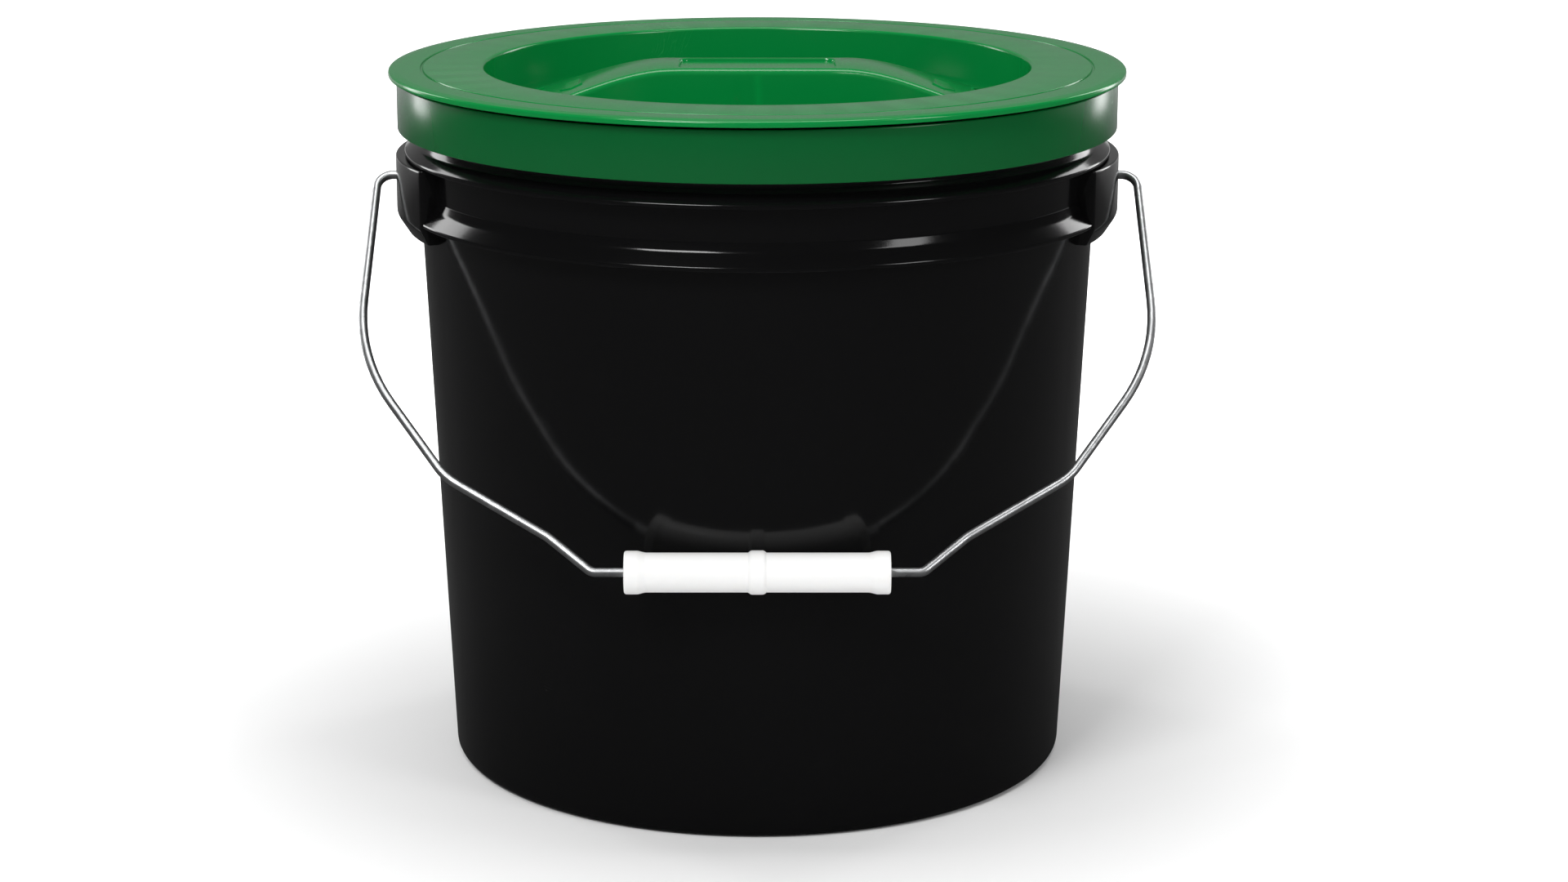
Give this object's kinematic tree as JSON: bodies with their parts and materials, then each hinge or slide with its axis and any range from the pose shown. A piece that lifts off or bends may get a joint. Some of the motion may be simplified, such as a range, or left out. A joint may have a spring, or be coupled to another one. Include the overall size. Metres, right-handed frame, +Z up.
{
  "type": "plastic fermenting bucket",
  "caption": "Black plastic fermenting bucket with wire bail, roller grip, snap-fit adapter ring and screw-in lid with a moulded handle bar.",
  "frame": {"origin": "on the surface the bucket stands on, under the middle of the pail", "axes": "+Z up through the pail's axis, X along the bail's pivot line through both ears, the bail hangs at -Y"},
  "size_m": [0.3364, 0.3162, 0.3031],
  "materials": {
    "pail_plastic": "glossy black polyethylene",
    "galvanised_wire": "bright galvanised wire",
    "grip_plastic": "white moulded polyethylene",
    "ring_plastic": "glossy dark green plastic",
    "gasket_rubber": "soft black rubber",
    "seal_rubber": "soft black rubber",
    "lid_plastic": "glossy green plastic"
  },
  "bodies": {
    "pail": {"bucket": "pail_plastic"},
    "bail": {"bail_wire": "galvanised_wire"},
    "roller": {"grip": "grip_plastic"},
    "ring": {"adapter_ring": "ring_plastic", "ring_gasket": "gasket_rubber"},
    "seal": {"lid_seal": "seal_rubber"},
    "closure": {"lid": "lid_plastic"}
  },
  "joints": [
    {"name": "bail_swing", "type": "hinge", "parent": "pail", "child": "bail", "pos_m": [0, 0, 0.2544], "axis": [-1, 0, 0], "range_deg": [0, 264]},
    {"name": "grip_spin", "type": "hinge", "parent": "bail", "child": "roller", "pos_m": [0, -0.14922, 0.119], "axis": [1, 0, 0], "continuous": true},
    {"name": "ring_lift", "type": "slide", "parent": "pail", "child": "ring", "axis": [0, 0, 1], "range_m": [0, 0.1]},
    {"name": "lid_rise", "type": "slide", "parent": "ring", "child": "seal", "axis": [0, 0, 1], "range_m": [0, 0.0241]},
    {"name": "lid_turn", "type": "hinge", "parent": "seal", "child": "closure", "pos_m": [0, 0, 0.3], "axis": [0, 0, 1], "range_deg": [0, 360]}
  ],
  "couplings": [
    {"joint": "lid_rise", "follows": "lid_turn", "m_per_rad": 0.0038197}
  ]
}
